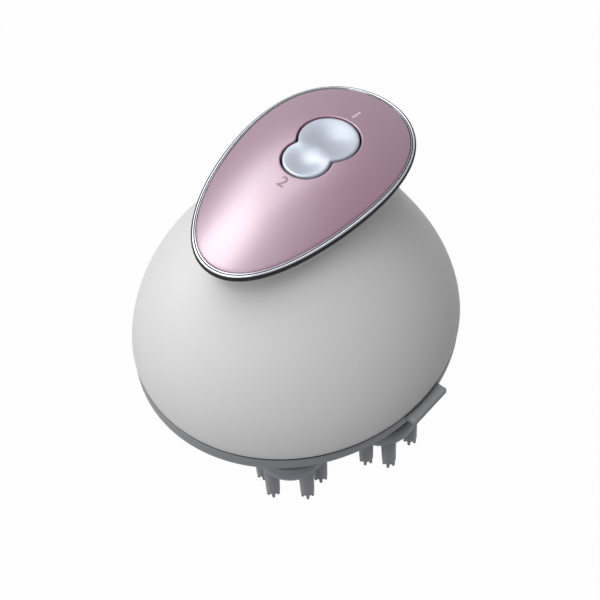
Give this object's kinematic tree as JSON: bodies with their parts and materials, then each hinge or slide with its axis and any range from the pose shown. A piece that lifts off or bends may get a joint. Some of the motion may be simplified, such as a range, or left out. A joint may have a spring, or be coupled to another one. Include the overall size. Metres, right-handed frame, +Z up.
{
  "type": "electric scalp massager",
  "caption": "Cordless electric scalp massager: domed body with a teardrop control panel and two-lobed rocker over turning rubber brush heads.",
  "frame": {"origin": "centre of the bounding box on the floor that the prong tips stand on", "axes": "+Z up through the dome, -Y towards the control panel's narrow tip, +X towards the grip tab"},
  "size_m": [0.1106, 0.1165, 0.1169],
  "materials": {
    "pearl_shell": "pearl white, satin gloss",
    "slate_ring": "slate grey, satin",
    "plate_grey": "dark slate, matt",
    "frame_white": "white, matt",
    "rose_panel": "rose metallic lacquer, glossy",
    "bright_trim": "bright plated plastic",
    "rocker_silver": "silvery blue lacquer, glossy",
    "seal_black": "black, matt",
    "inner_black": "black, matt",
    "board_green": "green solder mask",
    "steel": "zinc plated",
    "motor_steel": "plated steel can",
    "brass": "turned",
    "gear_ivory": "natural acetal",
    "cell_blue": "plastic sleeve",
    "brush_rubber": "slate grey silicone, satin"
  },
  "bodies": {
    "housing": {"dome": "pearl_shell", "seam_seal": "seal_black", "base_ring": "slate_ring", "brush_plate": "plate_grey", "chassis": "frame_white", "top_panel": "rose_panel", "trim_ring": "bright_trim", "panel_seal": "seal_black", "top_frame": "inner_black", "rocker_pin": "steel", "button_board": "board_green", "button_switches": "inner_black", "board_screws": "steel", "centre_axle": "steel", "axle_clip": "steel", "middle_axle": "steel", "gear_motor_case": "motor_steel", "motor_can": "motor_steel", "motor_screws": "steel", "battery_tray": "inner_black", "battery_cells": "cell_blue", "main_board": "board_green", "board_parts": "inner_black", "tray_screws": "steel", "charging_inlet": "inner_black", "tap_motor": "motor_steel", "tap_clip": "inner_black", "spindle_bushes": "brass", "top_bushes": "brass", "shaft_seals": "seal_black", "long_screws": "steel", "plate_screws": "steel", "hex_nuts": "steel"},
    "rocker": {"rocker": "rocker_silver"},
    "centre_gear": {"centre_gear": "gear_ivory", "centre_hub": "brass"},
    "middle_gear": {"middle_gear": "gear_ivory", "middle_hub": "brass"},
    "motor_rotor": {"motor_pinion": "brass", "motor_shaft": "steel"},
    "tap_rotor": {"tap_weight": "brass"},
    "brush_1": {"brush_1": "brush_rubber", "spindle_1": "steel", "brush_gear_1": "gear_ivory"},
    "brush_2": {"brush_2": "brush_rubber", "spindle_2": "steel", "brush_gear_2": "gear_ivory"},
    "brush_3": {"brush_3": "brush_rubber", "spindle_3": "steel", "brush_gear_3": "gear_ivory"},
    "brush_4": {"brush_4": "brush_rubber", "spindle_4": "steel", "brush_gear_4": "gear_ivory"},
    "brush_5": {"brush_5": "brush_rubber", "spindle_5": "steel", "brush_gear_5": "gear_ivory"},
    "brush_6": {"brush_6": "brush_rubber", "spindle_6": "steel", "brush_gear_6": "gear_ivory"}
  },
  "joints": [
    {"name": "rocker_tilt", "type": "hinge", "parent": "housing", "child": "rocker", "pos_m": [-0.0013, 0.01431, 0.11148], "axis": [1, 0, 0], "range_deg": [-3, 3], "stiffness_Nm_per_rad": 0.1},
    {"name": "centre_gear_spin", "type": "hinge", "parent": "housing", "child": "centre_gear", "pos_m": [-0.0013, 0, 0.0314], "axis": [0, 0, 1], "continuous": true},
    {"name": "middle_gear_spin", "type": "hinge", "parent": "housing", "child": "middle_gear", "pos_m": [-0.0013, 0.0288, 0.0398], "axis": [0, 0, 1], "continuous": true},
    {"name": "motor_spin", "type": "hinge", "parent": "housing", "child": "motor_rotor", "pos_m": [-0.0013, 0.0072, 0.0443], "axis": [0, 0, 1], "continuous": true},
    {"name": "tap_spin", "type": "hinge", "parent": "housing", "child": "tap_rotor", "pos_m": [-0.02826, 0.022, 0.0508], "axis": [0, 1, 0], "continuous": true},
    {"name": "brush_1_spin", "type": "hinge", "parent": "housing", "child": "brush_1", "pos_m": [0.0347, 0, 0.0235], "axis": [0, 0, 1], "continuous": true},
    {"name": "brush_2_spin", "type": "hinge", "parent": "housing", "child": "brush_2", "pos_m": [0.01909, 0.02967, 0.0235], "axis": [0, 0, 1], "continuous": true},
    {"name": "brush_3_spin", "type": "hinge", "parent": "housing", "child": "brush_3", "pos_m": [-0.02169, 0.02967, 0.0235], "axis": [0, 0, 1], "continuous": true},
    {"name": "brush_4_spin", "type": "hinge", "parent": "housing", "child": "brush_4", "pos_m": [-0.0373, 0, 0.0235], "axis": [0, 0, 1], "continuous": true},
    {"name": "brush_5_spin", "type": "hinge", "parent": "housing", "child": "brush_5", "pos_m": [-0.02169, -0.02967, 0.0235], "axis": [0, 0, 1], "continuous": true},
    {"name": "brush_6_spin", "type": "hinge", "parent": "housing", "child": "brush_6", "pos_m": [0.01909, -0.02967, 0.0235], "axis": [0, 0, 1], "continuous": true}
  ],
  "couplings": [
    {"joint": "middle_gear_spin", "follows": "centre_gear_spin", "ratio": -3},
    {"joint": "motor_spin", "follows": "centre_gear_spin", "ratio": 9},
    {"joint": "brush_1_spin", "follows": "centre_gear_spin", "ratio": -2.6},
    {"joint": "brush_2_spin", "follows": "centre_gear_spin", "ratio": -2.6},
    {"joint": "brush_3_spin", "follows": "centre_gear_spin", "ratio": -2.6},
    {"joint": "brush_4_spin", "follows": "centre_gear_spin", "ratio": -2.6},
    {"joint": "brush_5_spin", "follows": "centre_gear_spin", "ratio": -2.6},
    {"joint": "brush_6_spin", "follows": "centre_gear_spin", "ratio": -2.6}
  ]
}
